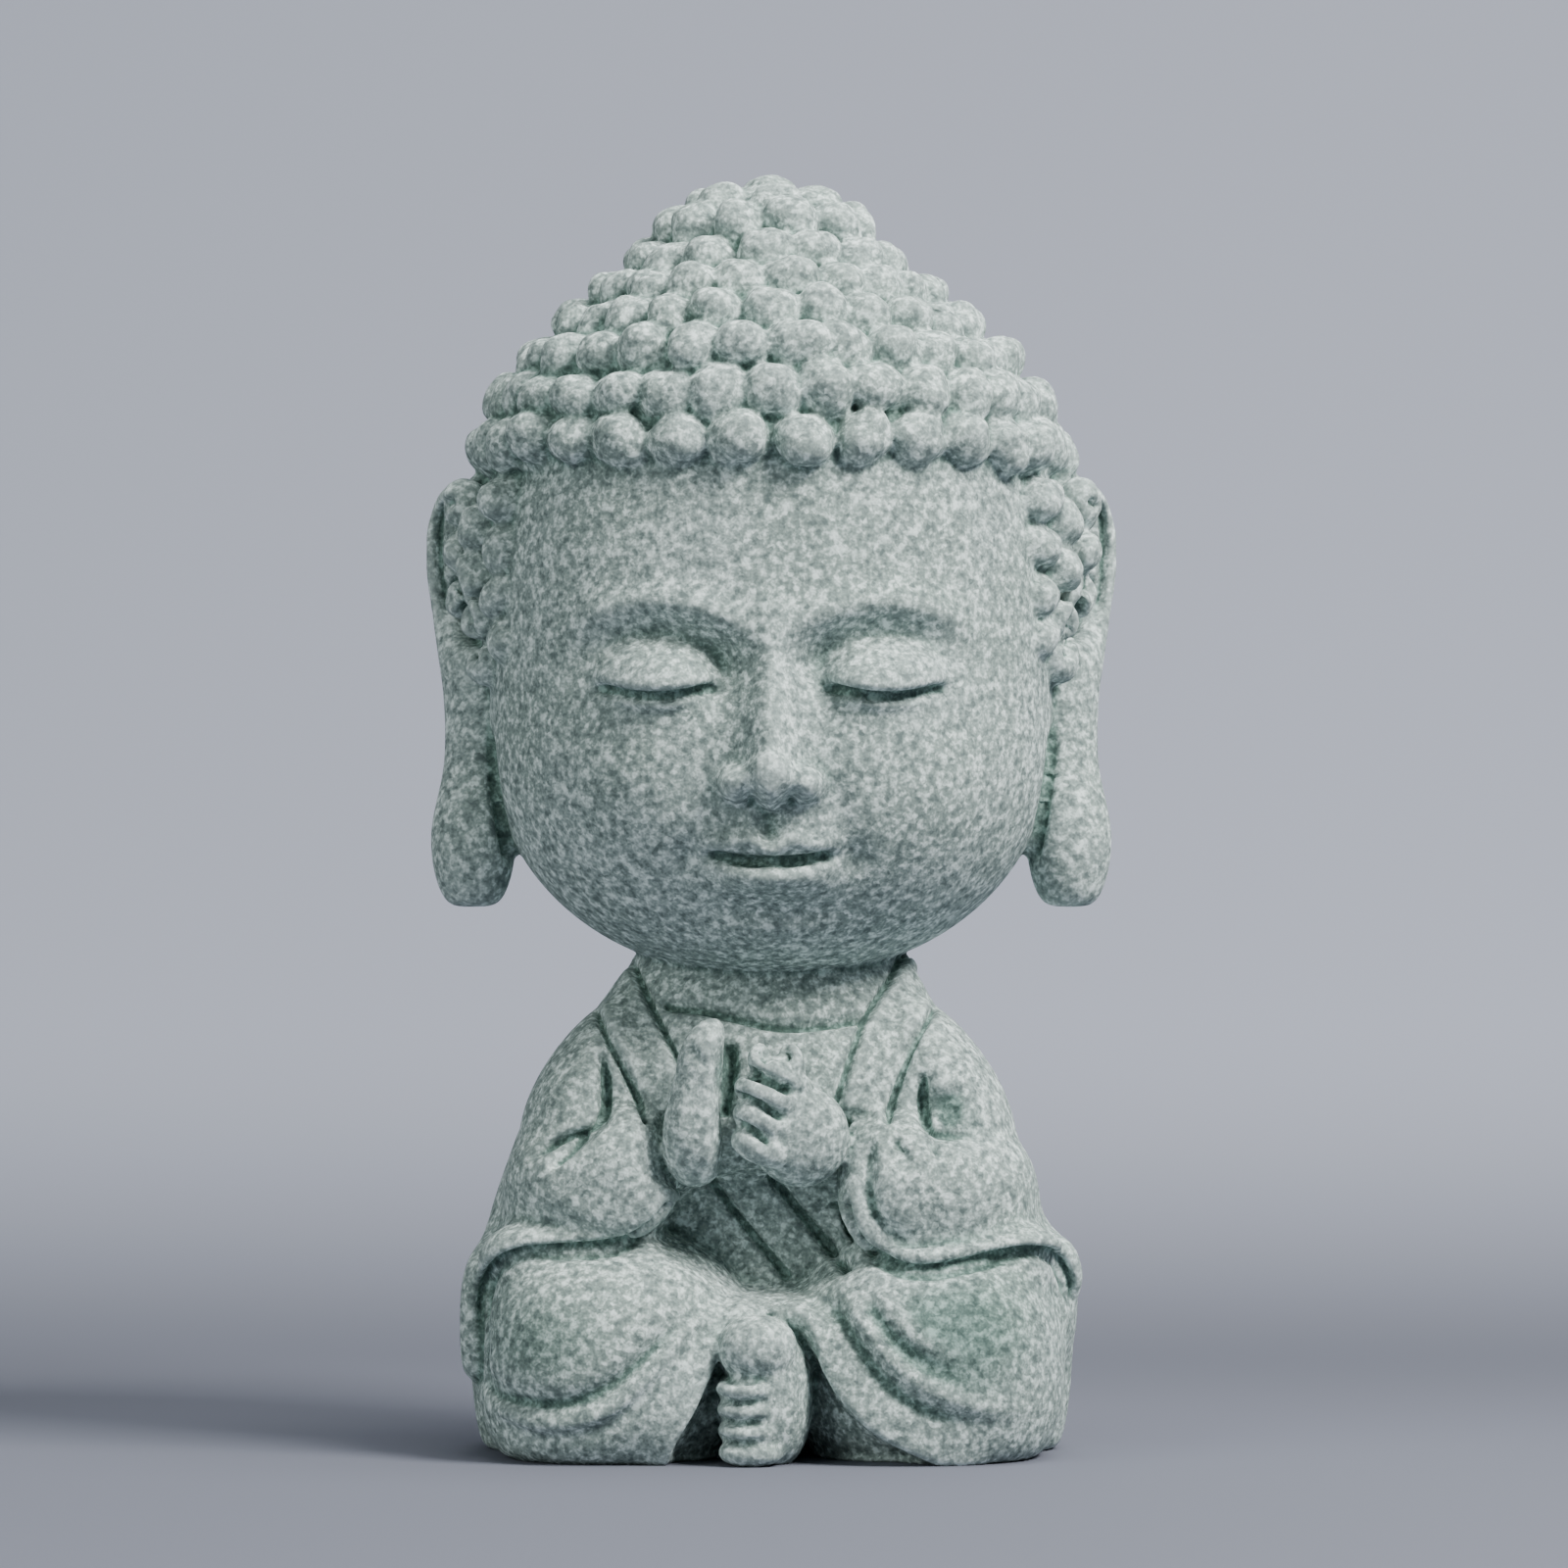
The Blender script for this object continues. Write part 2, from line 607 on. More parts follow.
def folded_hand():
    """The other hand, seen from its back: three fingers curled towards the first, two tips on top."""
    palm = [
        (5.1, -12.4, 25.8, 3.4, 2.8),
        (3.2, -14.6, 26.9, 4.2, 3),
        (1.0, -15, 28.4, 4.0, 2.6),
        (-1.1, -14.6, 29.6, 3.0, 2),
    ]
    parts = [limb(palm, outward=forward, blunt=3)]
    for i in range(3):
        x, z = 1.3 - 0.3 * i, 30.2 - 2.15 * i
        knuckles = [
            (x + 1.2, -15.6, z - 0.6, 1.3, 1.4),
            (x - 1.6, -17.4, z + 0.7, 1.5, 1.5),
            (x - 4.3 + 0.2 * i, -16.4, z + 1.6, 1.35, 1.4),
        ]
        parts.append(finger(knuckles))
    first = [
        (3.6, -14.8, 31.1, 1.3, 1.7),
        (0.9, -16.4, 32.5, 1.2, 1.6),
        (-0.9, -16.6, 33.6, 1.1, 1.4),
        (-0.9, -16.2, 35.3, 1.0, 1.2),
    ]
    thumb = [(2.2, -15.2, 32, 1.1, 1.4), (1.7, -16, 33.7, 1.1, 1.3), (1.4, -16, 35.2, 1.0, 1.1)]
    return parts + [finger(first), finger(thumb)]


def foot():
    """The foot that shows under the hem: a rounded sole on edge, a great toe and four small ones."""
    parts = [blob((-0.5, -13.2, 5.6), (4, 7, 6.4), square=2.4)]
    parts.append(blob((-1.1, -17.9, 9.8), (3.3, 3, 2.8), square=2.2))
    for i in range(4):
        middle = (-1.9 + 0.08 * i, -18.4 + 0.1 * i, 6.4 - 1.75 * i)
        parts.append(blob(middle, (2.7, 2.4, 1.2), square=2.3))
    return parts


# CARVING


def nearest_on(path, places, reach, stops=48):
    """For flat places near a smooth path: which they are, the distance, the side and the share along.

    The path is cut into short straight pieces. The distance to a piece is that to the closest point
    of it, and the side is positive to the left of the direction of travel.
    """
    line = along(path, np.linspace(0, 1, stops))
    low, high = line.min(0) - reach, line.max(0) + reach
    near = np.flatnonzero(np.all((places > low) & (places < high), axis=1))
    start, step = line[:-1], np.diff(line, axis=0)
    gap = places[near, None] - start
    share = np.clip((gap * step).sum(-1) / (step**2).sum(-1), 0, 1)
    gap -= share[..., None] * step
    distance = np.linalg.norm(gap, axis=-1)
    i = distance.argmin(1)
    row = np.arange(len(near))
    gap = gap[row, i]
    side = step[i, 0] * gap[:, 1] - step[i, 1] * gap[:, 0]
    distance = distance[row, i]
    inside = distance < reach
    travelled = (i + share[row, i]) / len(step)
    return near[inside], distance[inside], np.sign(side[inside]), travelled[inside]


def faded(travelled, start, end):
    """1 along a cut, falling to 0 over the shares at its two ends."""
    head_end = 1.0 if start == 0 else ramp(travelled, 0, start)
    tail_end = 1.0 if end == 0 else 1 - ramp(travelled, 1 - end, 1)
    return head_end * tail_end


def swept(places, path, reach, section, start, end):
    """How far each place is pushed by a section carried along a path and faded at its two ends.

    The section gives the push from the distance to the path and the side of it.
    """
    push = np.zeros(len(places))
    near, distance, side, travelled = nearest_on(path, places, reach)
    push[near] = section(distance, side) * faded(travelled, start, end)
    return push


def groove(places, path, depth, width, start=0.1, end=0.1):
    """A rounded cut: minus depth times a bell over the distance to the path."""

    def section(distance, _):
        return -depth * hump(distance / width)

    return swept(places, path, 3 * width, section, start, end)


def ridge(places, path, height, width, start=0.2, end=0.2):
    """A rounded fold that stands up along the path, with a shallow trough on either side."""

    def section(distance, _):
        t = distance / width
        return height * (1.25 * hump(t) - 0.5 * hump(t / 1.9))

    return swept(places, path, 3.5 * width, section, start, end)


def hem(places, path, height, width, proud, start=0.1, end=0.1, sharp=0.3, line=0.6):
    """An edge of cloth lying over what is beside it: a step at the path that dies away on its proud side.

    The proud side (1 left of the path's direction, -1 right) stands up by height and falls off over
    width; the other side is cut in, close to the edge only, with a fine line right under the edge.
    """

    def section(distance, side):
        across = distance * side * proud
        over = height * ramp(across, -sharp, sharp) * hump(np.maximum(0, across - sharp) / width)
        away = hump(np.minimum(0, across) / (0.45 * width))
        under = -0.35 * height * (1 - ramp(across, -sharp, 0)) * away
        under -= line * hump((across + 0.35) / 0.42)
        return over + under

    return swept(places, path, 3 * width, section, start, end)


def band(places, path, height, half_width, groove_depth, start=0.0, end=0.05):
    """A flat band along the path: raised inside its half width, with a fine cut along either edge."""

    def section(distance, _):
        raised = height * (1 - ramp(distance, half_width - 0.5, half_width + 0.15))
        edge = -groove_depth * hump((distance - half_width - 0.2) / 0.3)
        return raised + edge

    return swept(places, path, half_width + 2.5, section, start, end)


# THE CLOTH'S FOLDS, as paths of (x, z) seen from the front

LEFT_SLEEVE_HEM = [
    (-7.8, 22.9), (-8.8, 21.2), (-10.6, 19.5), (-13, 18.4), (-17, 18), (-21, 17.6), (-23.3, 16.4),
    (-24.5, 14), (-24.8, 9), (-24.8, 5.6),
]
RIGHT_SLEEVE_HEM = [
    (6.5, 29.2), (6.2, 25.6), (6.3, 21.4), (7.8, 18.4), (10.3, 16.8), (13, 16.4),
    (17, 17), (21, 17.7), (23.8, 17.3), (25.2, 15.4), (25.9, 12),
]
LEFT_ARMPIT = [(-14.3, 35.4), (-13.9, 32), (-14, 29.4), (-15.2, 28), (-18, 26.9), (-21.2, 24.9)]
RIGHT_ARMPIT = [(13, 33.2), (12.8, 30.4), (13.2, 28.4), (14.6, 27.5), (17.8, 27.3)]
LEFT_KNEE_HEM = [(-0.6, 12.6), (-3.1, 11.3), (-4.6, 8.6), (-6.4, 4.6), (-8, 1.8), (-8.8, -0.8)]
RIGHT_KNEE_HEM = [(0.2, 12.8), (2.7, 11.6), (4.2, 8.4), (6.0, 5.4), (8.6, 2.8), (12.2, 0.9), (16.4, -0.6)]
UNDER_HEM = [
    (-0.3, 12.9), (-3.1, 11.3), (-4.6, 8.6), (-6.4, 4.6), (-8.6, 0), (-8.8, -3), (0, -4), (14, -3),
    (12.4, 0.5), (8.6, 2.8), (6.0, 5.4), (4.2, 8.4), (2.7, 11.6), (-0.3, 12.9),
]
BELLY = [
    (-10.4, 18.6), (-8.9, 20.6), (-7.8, 22.8), (-6.4, 24), (0, 25), (5.4, 23.6), (6, 20), (7.4, 18),
    (9, 16.6), (6, 15), (2.6, 14), (-0.6, 13.6), (-3.4, 14.1), (-6.6, 15.5), (-9, 17), (-10.4, 18.6),
]

FOLDS = (
    (hem, LEFT_SLEEVE_HEM, dict(height=1.0, width=2.2, proud=-1, start=0.04, end=0.06)),
    (hem, RIGHT_SLEEVE_HEM, dict(height=1.1, width=1.7, proud=1, start=0.03, end=0.08)),
    (groove, [(8.6, 27.6), (8.2, 23.8), (8.8, 20.6), (10.8, 18.8), (13.6, 18.4)],
     dict(depth=0.7, width=0.6, start=0.15, end=0.4)),
    (groove, [(9.8, 27), (10.9, 25.2), (12.2, 24.4)], dict(depth=0.6, width=0.5, start=0.3, end=0.5)),
    (hem, LEFT_KNEE_HEM, dict(height=0.7, width=1.4, proud=-1, start=0.12, end=0)),
    (hem, RIGHT_KNEE_HEM, dict(height=0.8, width=1.3, proud=1, start=0.12, end=0)),
    (groove,
     [(-24.6, 7.6), (-22.5, 5.6), (-17.6, 5.1), (-13.7, 6.5), (-10, 9.6), (-7.6, 12.2), (-4.4, 14.6)],
     dict(depth=0.7, width=1, start=0.1, end=0.35)),
    (ridge, [(-24.4, 5.4), (-19.6, 3.4), (-13.6, 4.6), (-9.2, 8.2), (-6, 11.6), (-2.6, 13.5)],
     dict(height=0.3, width=1, start=0.15, end=0.15)),
    (groove, [(-24.4, 4), (-19.6, 2.2), (-13.8, 3.2), (-9.6, 6.6), (-6.6, 10.2), (-3.4, 12.7)],
     dict(depth=0.4, width=0.6, start=0.15, end=0.15)),
    (groove, [(4.4, 14.2), (6.5, 11), (8.9, 7.5), (11.9, 5), (15.6, 3.7), (20.2, 3)],
     dict(depth=0.6, width=0.75, start=0.12, end=0.35)),
    (ridge, [(6.4, 14.4), (8.2, 11.4), (10.8, 8.4), (14.2, 6.1), (19.2, 4.8), (24.6, 5)],
     dict(height=0.5, width=0.9, start=0.15, end=0.35)),
    (groove, [(7.6, 14.2), (9.6, 11.2), (12.4, 8.8), (16.6, 7.2)],
     dict(depth=0.6, width=0.7, start=0.15, end=0.5)),
    (ridge, [(9.2, 15), (10.9, 12), (14, 9.8), (18.6, 8.8)],
     dict(height=0.4, width=1.1, start=0.2, end=0.6)),
    (groove, LEFT_ARMPIT, dict(depth=0.8, width=0.6, start=0.2, end=0.3)),
    (groove, [(-15.2, 27.8), (-16.9, 26.4), (-19, 24.8)], dict(depth=0.5, width=0.5, start=0.1, end=0.5)),
    (groove, RIGHT_ARMPIT, dict(depth=0.5, width=0.5, start=0.2, end=0.4)),
    (groove, [(14.6, 31.6), (15, 29.8), (16.4, 28.8)], dict(depth=0.8, width=1.7, start=0.3, end=0.4)),
    (groove, [(13.8, 27.7), (17, 27.4), (20, 28.6)], dict(depth=0.3, width=0.9, start=0.2, end=0.6)),
    (ridge, [(-22.4, 21.6), (-18, 22), (-13.4, 20.4), (-10.4, 20.4)],
     dict(height=0.3, width=1.4, start=0.3, end=0.3)),
)

LEFT_LAPEL = [(-14.4, 41.6), (-13.1, 39), (-11.3, 35.5), (-9.7, 32.4), (-8.1, 29.2)]
RIGHT_LAPEL = [(13.5, 41.7), (12.2, 39.4), (10.1, 36.3), (8.6, 32.4), (7.5, 28.8)]

FACE_LINES = tuple(
    (groove, [(side * (EYE_OUT + EYE_HALF * s), EYE_LINE + float(lid_sag(EYE_OUT + EYE_HALF * s)))
              for s in np.linspace(-1.02, 1.02, 7)],
     dict(depth=0.75, width=0.34, start=0.12, end=0.12))
    for side in SIDES
) + (
    (groove, [(6.0 * s, MOUTH + 0.75 * s * s) for s in np.linspace(-1, 1, 7)],
     dict(depth=0.6, width=0.36, start=0.15, end=0.15)),
)

CREASES = (
    *((band, path, dict(height=0.5, half_width=2.05, groove_depth=0.75))
      for path in (LEFT_LAPEL, RIGHT_LAPEL)),
    (groove, [(-9.8, 38.4), (-5.8, 38), (-2.7, 37.3), (0, 36.7), (3, 36.6), (8.4, 37.3)],
     dict(depth=1.1, width=0.45, start=0.05, end=0.05)),
    (groove, [(-3.4, 35.4), (-3.4, 33.4), (-3.7, 31.4), (-4.1, 28.4)],
     dict(depth=1.6, width=0.6, start=0.15, end=0.1)),
    (groove, [(-5.3, 23.4), (-1.8, 19), (1.7, 14.9)], dict(depth=1.0, width=0.42, start=0, end=0.08)),
    (groove, [(0.1, 23.4), (3.3, 19.6), (6.7, 15.7)], dict(depth=1.3, width=0.45, start=0, end=0.08)),
    (groove, [(4.9, 21.8), (6.7, 19.2), (9.2, 17)], dict(depth=0.9, width=0.4, start=0.1, end=0.2)),
)

SEAMS = (
    (groove, LEFT_SLEEVE_HEM, dict(depth=0.7, width=0.32, start=0.03, end=0.05)),
    (groove, RIGHT_SLEEVE_HEM, dict(depth=0.7, width=0.32, start=0.03, end=0.08)),
    (groove, LEFT_ARMPIT, dict(depth=0.9, width=0.32, start=0.2, end=0.2)),
    (groove, [(-15.4, 27.7), (-17, 26.2), (-19, 24.4)], dict(depth=0.9, width=0.34, start=0.1, end=0.3)),
    (groove, RIGHT_ARMPIT, dict(depth=0.9, width=0.32, start=0.2, end=0.4)),
    (groove,
     [(-24.4, 6.8), (-22.5, 5.5), (-17.5, 5.2), (-13.6, 6.6), (-9.8, 9.8), (-7.4, 12.2), (-5, 14.2)],
     dict(depth=0.3, width=0.4, start=0.1, end=0.4)),
    (groove, [(-24.4, 4), (-19.4, 2.6), (-14, 3.5), (-10, 6.6), (-7, 10.4), (-3.2, 12.9)],
     dict(depth=0.15, width=0.4, start=0.1, end=0.15)),
    (groove, [(4.4, 14.2), (6.5, 11), (8.9, 7.6), (11.9, 5.2), (15.4, 3.9)],
     dict(depth=0.15, width=0.5, start=0.12, end=0.4)),
    (groove, [(8.6, 27.8), (8.1, 24.8), (8.5, 21.4), (10.2, 19)],
     dict(depth=0.45, width=0.5, start=0.2, end=0.4)),
    (groove, [(10.4, 27.6), (11, 26.2), (12.5, 24.4)], dict(depth=0.6, width=0.45, start=0.2, end=0.5)),
    (groove, [(13.4, 27.2), (14, 26.2), (15.2, 25)], dict(depth=0.5, width=0.45, start=0.2, end=0.5)),
)

# Darker, greener places, as (x, z, half width, half height, depth of hollow they look like)
STAINS = (
    (-19.5, 10.5, 8, 6, 1.1),
    (16, 11.5, 8, 6.5, 1.6),
    (15.6, 29.6, 2.8, 2.6, 1.4),
    (-21, 92, 14, 10, 0.8),
    (-3.5, 32.8, 1.1, 2.2, 2.6),
)

TOES = tuple(
    (groove, [(-4.8, level + 0.3), (-2.6, level - 0.25), (0.4 - 0.2 * i, level + 0.15)],
     dict(depth=0.4, width=0.32, start=0.02, end=0.3))
    for i, level in enumerate((7.4, 5.6, 3.9, 2.2))
)

HAND_LINES = (
    *((groove, path, dict(depth=depth, width=width, start=0.1, end=0.15)) for path, depth, width in (
        ([(-2.6, 33.1), (-1.4, 32.7), (0.4, 32.0), (2.2, 31.0)], 1.2, 0.34),
        ([(-3.3, 31), (-1.7, 30.5), (-0.1, 29.7), (1.5, 28.8)], 0.9, 0.3),
        ([(-3.5, 28.7), (-2.3, 28.3), (-0.9, 27.6), (0.3, 26.8)], 0.9, 0.3),
    )),
    (groove, [(-1.0, 34.8), (-0.4, 34.1)], dict(depth=0.9, width=0.45, start=0, end=0)),
    (groove, [(1.0, 34.8), (1.5, 34.2)], dict(depth=0.9, width=0.42, start=0, end=0)),
    (ridge, [(-5.6, 24.6), (-5.1, 27.5), (-5.1, 30.5), (-5.6, 33.4), (-4.6, 36.8)],
     dict(height=0.45, width=0.8, start=0.1, end=0.1)),
    (groove, [(-7, 35.2), (-6, 34), (-5.2, 32.7)], dict(depth=0.4, width=0.36, start=0.2, end=0.3)),
)

EAR_LINES = tuple(
    (cut, [(side * x, z) for x, z in path], sizes)
    for side in SIDES
    for cut, path, sizes in (
        (groove, [(27, 81.4), (28.6, 80.8), (28.9, 77.5), (28.6, 74), (27.9, 71)],
         dict(depth=0.9, width=0.42, start=0.1, end=0.2)),
        (groove, [(28, 75.6), (27, 73), (26, 70), (25.3, 66.6)],
         dict(depth=1.3, width=0.7, start=0.15, end=0.25)),
        (ridge, [(27.6, 78), (26.4, 74.6), (25, 70.6)], dict(height=0.5, width=0.7)),
        (groove, [(24.4, 63), (23.9, 58), (23.2, 54), (22.3, 50)],
         dict(depth=0.7, width=0.42, start=0.2, end=0.1)),
    )
)


def hollow(places, outline, depth, slope, stops=120):
    """A sunk field inside a closed outline: minus depth, reached over the slope's width from the edge.

    A place is inside if a level line from it to the right crosses the outline an odd number of times.
    """
    line = along(outline, np.linspace(0, 1, stops))
    a, b = line[:-1], np.roll(line, -1, axis=0)[:-1]
    near = np.flatnonzero(np.all((places > line.min(0)) & (places < line.max(0)), axis=1))
    x, z = places[near].T[..., None]
    spans = (a[:, 1] > z) != (b[:, 1] > z)
    with np.errstate(divide="ignore", invalid="ignore"):
        meets = a[:, 0] + (z - a[:, 1]) * (b[:, 0] - a[:, 0]) / (b[:, 1] - a[:, 1])
    inside = near[np.sum(spans & (x < meets), axis=1) % 2 == 1]
    push = np.zeros(len(places))
    push[inside] = -depth
    found, distance, _, _ = nearest_on(outline, places[inside], slope)
    push[inside[found]] = -depth * ramp(distance, 0, slope)
    return push


# BACK AND SIDES, as paths of (distance round the back from its middle, z)

BACK_FOLDS = (
    *((hem, [(side * x, z) for x, z in ((15.5, 38), (18, 31), (19.5, 23), (22, 15), (28, 7))],
       dict(height=0.8, width=2.6, proud=side, start=0.15)) for side in (1, -1)),
    (ridge, [(-12, 39), (-7, 33), (2, 25), (10, 18), (19, 12)], dict(height=0.6, width=1.3)),
    (ridge, [(-14, 34), (-9, 28), (0, 19), (9, 12), (17, 8)], dict(height=0.65, width=1.4)),
    (ridge, [(-16, 28), (-11, 22), (-3, 13), (6, 7)], dict(height=0.6, width=1.4)),
    (ridge, [(-17, 21), (-13, 15), (-7, 8), (-2, 5)], dict(height=0.5, width=1.3)),
    (groove, [(-3, 38), (4, 33), (11, 27), (16, 23)], dict(depth=0.4, width=0.7, start=0.2, end=0.3)),
    (groove, [(-30, 3.4), (-14, 2.6), (0, 3), (14, 2.6), (30, 3.4)], dict(depth=0.4, width=0.6)),
)


# FROM FORMS TO ONE SKIN

ROBE_CELL_SHARE = 1.4
ROBE_SMOOTHING = 40
WHOLE_SMOOTHING = 2
UNDER_HEM_BACK = -6
BACK_FOOT = 1.5
SHOULDER_LEVEL = 39.5
BACK_MIDDLE = -8
BACK_RADIUS = 22
COLLAR_TOP = 42.5
CHEST_FRONT = -14.2
HANDS_MIDDLE = -1.4
HANDS_HALF_WIDTH = 8.6
HANDS_BACK = -12.6
HANDS_BOTTOM = 22
HANDS_TOP = 39
TOES_BACK = -14
TOES_TOP = 9
NEAR_STEPS = 8
WIDE_STEPS = 90
NEAR_GAIN = 4
FLAT_BELOW = 0.12


def joined(parts):
    """Several closed surfaces as one set of points and triangles."""
    counts = np.cumsum([0] + [len(points) for points, _ in parts[:-1]])
    points = np.vstack([points for points, _ in parts])
    return points, np.vstack([triangles + count for (_, triangles), count in zip(parts, counts)])


def mesh_from(name, points, triangles):
    """A Blender mesh of the points and triangles, in the units that they come in."""
    mesh = bpy.data.meshes.new(name)
    mesh.vertices.add(len(points))
    mesh.vertices.foreach_set("co", points.ravel())
    mesh.loops.add(triangles.size)
    mesh.loops.foreach_set("vertex_index", triangles.ravel())
    mesh.polygons.add(len(triangles))
    mesh.polygons.foreach_set("loop_start", np.arange(0, triangles.size, 3))
    mesh.update(calc_edges=True)
    return mesh


def arrays_of(mesh):
    """The mesh's points, triangles and vertex normals."""
    points = np.empty(len(mesh.vertices) * 3)
    mesh.vertices.foreach_get("co", points)
    normals = np.empty(len(mesh.vertices) * 3)
    mesh.vertex_normals.foreach_get("vector", normals)
    mesh.calc_loop_triangles()
    triangles = np.empty(len(mesh.loop_triangles) * 3, int)
    mesh.loop_triangles.foreach_get("vertices", triangles)
    return points.reshape(-1, 3), triangles.reshape(-1, 3), normals.reshape(-1, 3)


def in_scene(name, data):
    """A new object of the data, in the scene."""
    piece = bpy.data.objects.new(name, data)
    bpy.context.scene.collection.objects.link(piece)
    return piece


def finished_mesh(name, mesh, settings):
    """The mesh after a few of Blender's modifiers, given as (type, settings)."""
    piece = in_scene(name, mesh)
    for kind, values in settings:
        modifier = piece.modifiers.new(kind.title(), kind)
        for key, value in values.items():
            setattr(modifier, key, value)
    bpy.context.view_layer.update()
    result = bpy.data.meshes.new_from_object(piece.evaluated_get(bpy.context.evaluated_depsgraph_get()))
    bpy.data.objects.remove(piece)
    bpy.data.meshes.remove(mesh)
    return result


def one_skin(parts, cell, smoothing):
    """All the closed surfaces fused into one skin of small even cells, then relaxed."""
    points, triangles = joined(parts)
    points[:, 2] = np.maximum(points[:, 2], 0)
    steps = [
        ("REMESH", dict(mode="VOXEL", voxel_size=cell, adaptivity=0)),
        ("SMOOTH", dict(factor=0.5, iterations=smoothing)),
    ]
    mesh = finished_mesh("Skin", mesh_from("Skin", points, triangles), steps)
    result = arrays_of(mesh)
    bpy.data.meshes.remove(mesh)
    return result


def links_of(triangles):
    """The pairs of vertices that share an edge, both ways round, sorted by their first vertex."""
    pairs = np.vstack([triangles[:, [0, 1]], triangles[:, [1, 2]], triangles[:, [2, 0]]])
    pairs = np.vstack([pairs, pairs[:, ::-1]])
    keys = np.unique(pairs[:, 0] * (triangles.max() + 1) + pairs[:, 1])
    return np.divmod(keys, triangles.max() + 1)


def outer_shell(points, triangles, normals):
    """Only the largest connected surface, without the sealed pockets between forms."""
    first, second = links_of(triangles)
    label = np.arange(len(points))
    while True:
        lowest = np.minimum(label[first], label[second])
        fresh = label.copy()
        np.minimum.at(fresh, first, lowest)
        fresh = fresh[fresh]
        if np.array_equal(fresh, label):
            break
        label = fresh
    keep = label == np.bincount(label).argmax()
    place = np.cumsum(keep) - 1
    return points[keep], place[triangles[keep[triangles[:, 0]]]], normals[keep]


def relaxed(values, first, second, steps):
    """Each vertex's value moved half of the way to the mean of its neighbours, several times over."""
    starts = np.searchsorted(first, np.arange(len(values)))
    counts = np.diff(np.append(starts, len(first)))[:, None]
    for _ in range(steps):
        values = (values + np.add.reduceat(values[second], starts, axis=0) / counts) / 2
    return values


def carving(points, normals, cuts, facing, plan=None):
    """How far the points move along their normals by a sum of cuts, where the surface faces the carver.

    facing is a share per point, and plan the flat places at which the cuts are drawn; it is the view
    from the front, (x, z), unless given.
    """
    places = points[:, [0, 2]] if plan is None else plan
    push = np.zeros(len(points))
    for cut, path, sizes in cuts:
        push += cut(places, path, **sizes)
    return normals * (push * facing)[:, None]


def nape_collar():
    """The collar's band behind the neck, from one shoulder round to the other."""
    half = [(11.3, -1.5, 40.2), (10.2, 4.8, 41.2), (6, 8.8, 42.2)]
    stops = [(-x, y, z, 2, 1.3) for x, y, z in half] + [(0, 10, 42.6, 2.2, 1.4)]
    stops += [(x, y, z, 2, 1.3) for x, y, z in reversed(half)]
    return limb(stops, blunt=12, square=2.6, columns=40, rows=90)


def robe_skin(cell, strength):
    """The robe as one skin: soft forms fused, relaxed into each other, then carved front and back."""
    points, triangles, normals = outer_shell(*one_skin(robe_forms(), cell, ROBE_SMOOTHING))
    facing = ramp(-normals[:, 1], 0.0, 0.35)
    low = points[:, 2] < SHOULDER_LEVEL
    places = points[:, [0, 2]]
    under = hollow(places, UNDER_HEM, depth=3.2, slope=1) * (points[:, 1] < UNDER_HEM_BACK)
    belly = hollow(places, BELLY, depth=1.4, slope=1.2)
    points = points + carving(points, normals, FOLDS, facing * low * strength)
    points[:, 1] -= (under + belly) * facing
    back = ramp(normals[:, 1], -0.1, 0.35) * (points[:, 2] > BACK_FOOT)
    turn = np.arctan2(points[:, 0], points[:, 1] - BACK_MIDDLE)
    round_back = np.stack([turn * BACK_RADIUS, points[:, 2]], -1)
    points = points + carving(points, normals, BACK_FOLDS, back * strength, round_back)
    points[:, 2] = np.maximum(points[:, 2], 0)
    return points, triangles


